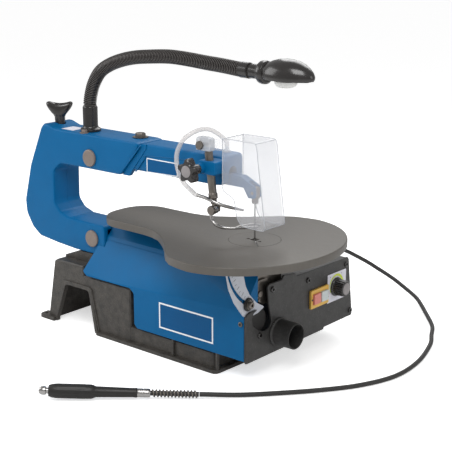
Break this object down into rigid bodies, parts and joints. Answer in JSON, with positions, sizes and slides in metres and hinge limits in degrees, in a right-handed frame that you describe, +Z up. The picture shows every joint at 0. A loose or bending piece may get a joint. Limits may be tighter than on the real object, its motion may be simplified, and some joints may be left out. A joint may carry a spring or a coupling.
{
  "type": "scroll saw",
  "caption": "Bench scroll saw with a C-frame and parallel rocker arms, tilting oval table, clear blade guard, dust blower, gooseneck lamp and flexible shaft with a handpiece.",
  "frame": {"origin": "Middle of the saw's footprint on the bench, at the middle of its bounding box without the flexible shaft's cord, at bench level.", "axes": "+X points to the operator along the throat, +Y to the operator's right, +Z up; the blade stands parallel to Z."},
  "size_m": [0.6767, 0.737, 0.476],
  "materials": {
    "blue_paint": "satin",
    "black_casting": "rough",
    "table_iron": "ground",
    "panel_black": "textured",
    "gloss_black": "gloss",
    "rubber_black": "matte",
    "steel": "brushed",
    "dark_steel": "blackened",
    "pivot_grey": "satin",
    "clear_plastic": "clear",
    "white_lens": "diffusing",
    "scale_grey": "satin",
    "label_white": "printed",
    "switch_yellow": "satin",
    "button_red": "satin",
    "button_grey": "satin"
  },
  "bodies": {
    "saw_body": {"base_casting": "black_casting", "side_cover": "blue_paint", "frame_half_left": "blue_paint", "frame_half_right": "blue_paint", "arm_housing": "blue_paint", "upper_pivot_pin": "pivot_grey", "lower_pivot_pin": "pivot_grey", "motor_body": "dark_steel", "motor_housing": "panel_black", "trunnion_saddle": "dark_steel", "tilt_pointer": "dark_steel", "front_panel": "panel_black", "dust_port": "panel_black", "switch_frame": "switch_yellow", "speed_label": "label_white", "air_bellows": "rubber_black", "hold_down_clamp": "blue_paint", "gooseneck_socket": "gloss_black", "hose_nipple": "clear_plastic", "air_hose": "clear_plastic", "arm_bolt": "dark_steel", "shaft_port": "rubber_black", "flex_shaft": "rubber_black", "spring_relief": "steel", "handpiece": "gloss_black"},
    "upper_rocker": {"upper_arm": "blue_paint", "upper_arm_bush": "steel"},
    "lower_rocker": {"lower_arm": "blue_paint", "lower_arm_bush": "steel"},
    "blade_line": {"blade": "steel", "upper_blade_clamp": "dark_steel", "lower_blade_clamp": "dark_steel"},
    "tension_link": {"tension_rod": "steel"},
    "tension_wing": {"tension_knob": "gloss_black"},
    "crank": {"motor_shaft": "steel"},
    "rod_link": {"connecting_rod": "dark_steel"},
    "tilting_table": {"table": "table_iron", "table_insert": "table_iron", "tilt_quadrant": "scale_grey", "tilt_trunnion": "dark_steel"},
    "lock_screw": {"tilt_lock_screw": "steel"},
    "hold_down": {"hold_down_post": "gloss_black", "guard_bracket": "clear_plastic", "guard_screw": "gloss_black", "foot_yoke": "dark_steel", "foot_screw": "gloss_black", "blower_nozzle": "steel"},
    "foot": {"presser_foot": "steel"},
    "clamp_knob": {"hold_down_knob": "gloss_black"},
    "guard": {"blade_guard": "clear_plastic"},
    "dial": {"speed_knob": "gloss_black"},
    "off_key": {"off_button": "button_red"},
    "on_key": {"on_button": "button_grey"},
    "lamp_neck": {"gooseneck": "rubber_black", "lamp_collar": "gloss_black"},
    "lamp_head": {"lamp_hood": "gloss_black", "lamp_lens": "white_lens"},
    "tool_collet": {"collet": "dark_steel"}
  },
  "joints": [
    {"name": "upper_arm_pivot", "type": "hinge", "parent": "saw_body", "child": "upper_rocker", "pos_m": [-0.13911, 0.03129, 0.289], "axis": [0, 1, 0], "range_deg": [-1.26, 1.26]},
    {"name": "lower_arm_pivot", "type": "hinge", "parent": "saw_body", "child": "lower_rocker", "pos_m": [-0.13911, 0.03129, 0.154], "axis": [0, 1, 0], "range_deg": [-1.26, 1.26]},
    {"name": "blade_pin", "type": "hinge", "parent": "upper_rocker", "child": "blade_line", "pos_m": [0.17889, 0.03129, 0.275], "axis": [0, 1, 0], "range_deg": [-1.26, 1.26]},
    {"name": "tension_link_pin", "type": "hinge", "parent": "upper_rocker", "child": "tension_link", "pos_m": [-0.24211, 0.03129, 0.289], "axis": [0, 1, 0], "range_deg": [-1.26, 1.26]},
    {"name": "tension_turn", "type": "hinge", "parent": "tension_link", "child": "tension_wing", "pos_m": [-0.24211, 0.03129, 0.34], "axis": [0, 0, 1], "continuous": true},
    {"name": "motor_spin", "type": "hinge", "parent": "saw_body", "child": "crank", "pos_m": [0.10389, 0.05929, 0.096], "axis": [0, 1, 0], "continuous": true},
    {"name": "rod_turn", "type": "hinge", "parent": "crank", "child": "rod_link", "pos_m": [0.10924, 0.04529, 0.096], "axis": [0, 1, 0], "continuous": true},
    {"name": "table_tilt", "type": "hinge", "parent": "saw_body", "child": "tilting_table", "pos_m": [0.17889, 0.03129, 0.204], "axis": [1, 0, 0], "range_deg": [0, 45]},
    {"name": "tilt_lock_turn", "type": "hinge", "parent": "saw_body", "child": "lock_screw", "pos_m": [0.20689, -0.01815, 0.12171], "axis": [1, 0, 0], "range_deg": [0, 180]},
    {"name": "hold_down_slide", "type": "slide", "parent": "saw_body", "child": "hold_down", "axis": [-0.129, 0, 0.9916], "range_m": [-0.011, 0.015], "deforming": ["air_hose"]},
    {"name": "foot_tilt", "type": "hinge", "parent": "hold_down", "child": "foot", "pos_m": [0.13839, -0.01071, 0.251], "axis": [0, -1, 0], "range_deg": [-4, 5]},
    {"name": "hold_down_knob_turn", "type": "hinge", "parent": "saw_body", "child": "clamp_knob", "pos_m": [0.11929, -0.04471, 0.3115], "axis": [0, -1, 0], "range_deg": [0, 180]},
    {"name": "guard_flip", "type": "hinge", "parent": "hold_down", "child": "guard", "pos_m": [0.11689, -0.00571, 0.345], "axis": [0, -1, 0], "range_deg": [0, 50]},
    {"name": "speed_turn", "type": "hinge", "parent": "saw_body", "child": "dial", "pos_m": [0.21129, 0.19929, 0.0955], "axis": [-1, 0, 0], "range_deg": [0, 270]},
    {"name": "off_press", "type": "slide", "parent": "saw_body", "child": "off_key", "axis": [-1, 0, 0], "range_m": [0, 0.003], "stiffness_N_per_m": 400},
    {"name": "on_press", "type": "slide", "parent": "saw_body", "child": "on_key", "axis": [-1, 0, 0], "range_m": [0, 0.003], "stiffness_N_per_m": 400},
    {"name": "lamp_swivel", "type": "hinge", "parent": "saw_body", "child": "lamp_neck", "pos_m": [-0.16411, 0.02829, 0.345], "axis": [0, 0, 1], "range_deg": [-60, 60]},
    {"name": "lamp_head_turn", "type": "hinge", "parent": "lamp_neck", "child": "lamp_head", "pos_m": [0.20089, 0.02829, 0.452], "axis": [1, 0, 0], "range_deg": [-60, 60]},
    {"name": "collet_spin", "type": "hinge", "parent": "saw_body", "child": "tool_collet", "pos_m": [0.02849, -0.24808, 0.01373], "axis": [-0.7568, -0.6529, 0.0313], "continuous": true}
  ],
  "couplings": [
    {"joint": "lower_arm_pivot", "follows": "upper_arm_pivot", "ratio": 1},
    {"joint": "blade_pin", "follows": "upper_arm_pivot", "ratio": -1},
    {"joint": "tension_link_pin", "follows": "upper_arm_pivot", "ratio": -1},
    {"joint": "rod_turn", "follows": "motor_spin", "ratio": -1},
    {"joint": "collet_spin", "follows": "motor_spin", "ratio": 1}
  ]
}
